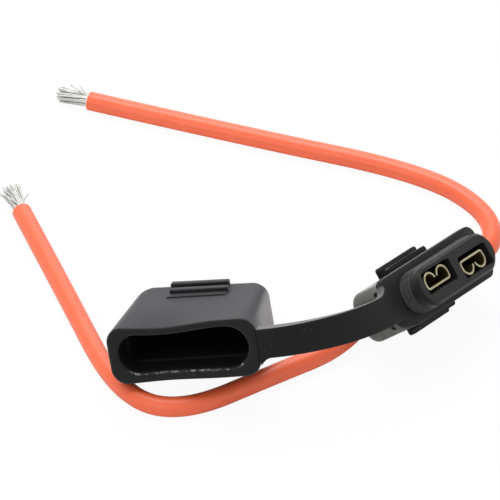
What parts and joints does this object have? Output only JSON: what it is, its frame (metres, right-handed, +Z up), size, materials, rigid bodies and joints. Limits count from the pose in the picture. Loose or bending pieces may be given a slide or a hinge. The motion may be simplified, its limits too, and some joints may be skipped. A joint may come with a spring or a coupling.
{
  "type": "in-line blade fuse holder",
  "caption": "In-line fuse holder for a plug-in blade fuse: ribbed rubber body with brass receptacles, tethered cap and orange leads with stripped ends.",
  "frame": {"origin": "on the floor under the centre of the rigid pieces' bounding box", "axes": "+Z up, +X along the holder's longer side, from the cap to the body"},
  "size_m": [0.0808, 0.0849, 0.0174],
  "materials": {
    "rubber": "satin",
    "brass": "satin",
    "jacket": "satin",
    "tinned_copper": "satin"
  },
  "bodies": {
    "holder": {"body": "rubber", "collar": "rubber", "tether": "rubber", "terminal_a": "brass", "terminal_b": "brass", "jacket_a": "jacket", "jacket_b": "jacket", "core_a": "tinned_copper", "core_b": "tinned_copper", "bare_end_a": "tinned_copper", "bare_end_b": "tinned_copper"},
    "cap_body": {"cap": "rubber"}
  },
  "joints": [
    {"name": "tether_flex", "type": "hinge", "parent": "holder", "child": "cap_body", "pos_m": [0.00611, -0.01552, 0.01878], "axis": [-0.2413, 0.5293, 0.8134], "range_deg": [0, 244.67], "deforming": ["tether"]}
  ]
}
